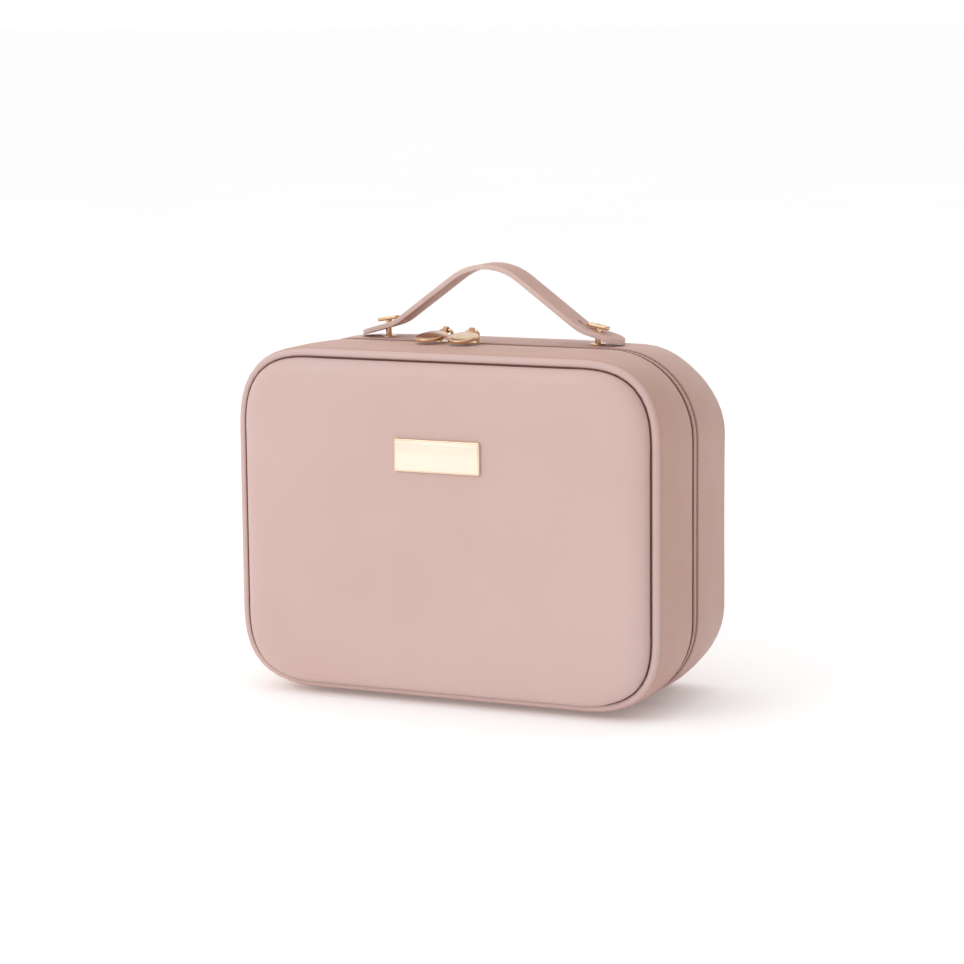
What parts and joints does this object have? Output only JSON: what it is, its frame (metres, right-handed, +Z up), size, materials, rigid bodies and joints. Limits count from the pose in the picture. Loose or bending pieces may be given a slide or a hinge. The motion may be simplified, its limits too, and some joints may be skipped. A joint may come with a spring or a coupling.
{
  "type": "makeup train case",
  "caption": "Soft zip-round makeup case with padded front, blank nameplate, press-flat top handle, paired zip pulls, brush loops and padded dividers.",
  "frame": {"origin": "centre of the case's footprint, on the surface it stands on", "axes": "+X across the case to its right as seen from the front, -Y out of the padded front, +Z up"},
  "size_m": [0.263, 0.121, 0.2461],
  "materials": {
    "case_skin": "fine-grain PU leather, dusty pink, semi-matt",
    "board": "stiffener board, raw",
    "lining": "smooth woven polyester lining over thin foam",
    "zip_tape": "woven polyester tape, dusty pink",
    "zip_coil": "nylon coil, dusty pink",
    "nameplate_gold": "polished pale gold plating",
    "gold_hardware": "polished light gold plating on zinc alloy",
    "steel": "plain zinc plated",
    "elastic": "ribbed elastic webbing and hook-and-loop tape",
    "mesh": "fine knitted mesh"
  },
  "bodies": {
    "rear_half": {"rear_gusset": "case_skin", "rear_panel": "case_skin", "rear_board": "board", "rear_lining": "lining", "zipper_tape_rear": "zip_tape", "zipper_coil_rear": "zip_coil", "hinge_strip": "case_skin", "zipper_end_tabs": "lining", "handle_stud_left": "gold_hardware", "handle_stud_right": "gold_hardware", "stud_washers": "steel", "stud_screws": "steel", "divider_long": "lining", "divider_upper_left": "lining", "divider_upper_right": "lining", "divider_lower": "lining", "divider_flaps": "elastic"},
    "lid": {"front_panel": "case_skin", "front_board": "board", "front_piping": "case_skin", "lid_gusset": "case_skin", "lid_lining": "lining", "zipper_tape_front": "zip_tape", "zipper_coil_front": "zip_coil", "nameplate": "nameplate_gold", "nameplate_prongs": "nameplate_gold", "brush_panel": "lining", "brush_loops": "elastic", "slip_pocket": "mesh", "pocket_hem": "elastic"},
    "slider_left_body": {"slider_left": "gold_hardware"},
    "slider_right_body": {"slider_right": "gold_hardware"},
    "pull_left_body": {"pull_left": "gold_hardware"},
    "pull_right_body": {"pull_right": "gold_hardware"},
    "strap_middle": {"strap_crown": "case_skin"},
    "strap_left_leg": {"strap_leg_left": "case_skin"},
    "strap_right_leg": {"strap_leg_right": "case_skin"},
    "strap_left_end": {"strap_end_left": "case_skin"},
    "strap_right_end": {"strap_end_right": "case_skin"}
  },
  "joints": [
    {"name": "lid_hinge", "type": "hinge", "parent": "rear_half", "child": "lid", "pos_m": [0, 0.0005, -0.0003], "axis": [1, 0, 0], "range_deg": [0, 180]},
    {"name": "slider_left_run", "type": "slide", "parent": "rear_half", "child": "slider_left_body", "axis": [-1, 0, 0], "range_m": [0, 0.056]},
    {"name": "slider_right_run", "type": "slide", "parent": "rear_half", "child": "slider_right_body", "axis": [1, 0, 0], "range_m": [0, 0.084]},
    {"name": "pull_left_swing", "type": "hinge", "parent": "slider_left_body", "child": "pull_left_body", "pos_m": [-0.0225, 0.0005, 0.2083], "axis": [-1, 0, 0], "range_deg": [0, 100]},
    {"name": "pull_right_swing", "type": "hinge", "parent": "slider_right_body", "child": "pull_right_body", "pos_m": [-0.006, 0.0005, 0.2083], "axis": [-1, 0, 0], "range_deg": [0, 100]},
    {"name": "handle_press", "type": "slide", "parent": "rear_half", "child": "strap_middle", "axis": [0, 0, -1], "range_m": [0, 0.02998]},
    {"name": "leg_left_bend", "type": "hinge", "parent": "strap_middle", "child": "strap_left_leg", "pos_m": [-0.02082, 0.0145, 0.23792], "axis": [0, 1, 0], "range_deg": [-0.5, 36.53]},
    {"name": "leg_right_bend", "type": "hinge", "parent": "strap_middle", "child": "strap_right_leg", "pos_m": [0.02082, 0.0145, 0.23792], "axis": [0, -1, 0], "range_deg": [-0.5, 36.53]},
    {"name": "end_left_bend", "type": "hinge", "parent": "strap_left_leg", "child": "strap_left_end", "pos_m": [-0.05861, 0.0145, 0.21044], "axis": [0, -1, 0], "range_deg": [-0.5, 22.53]},
    {"name": "end_right_bend", "type": "hinge", "parent": "strap_right_leg", "child": "strap_right_end", "pos_m": [0.05861, 0.0145, 0.21044], "axis": [0, 1, 0], "range_deg": [-0.5, 22.53]}
  ],
  "couplings": [
    {"joint": "leg_left_bend", "follows": "handle_press", "rad_per_m": 20.973},
    {"joint": "leg_right_bend", "follows": "handle_press", "rad_per_m": 20.973},
    {"joint": "end_left_bend", "follows": "handle_press", "rad_per_m": 12.823},
    {"joint": "end_right_bend", "follows": "handle_press", "rad_per_m": 12.823}
  ]
}
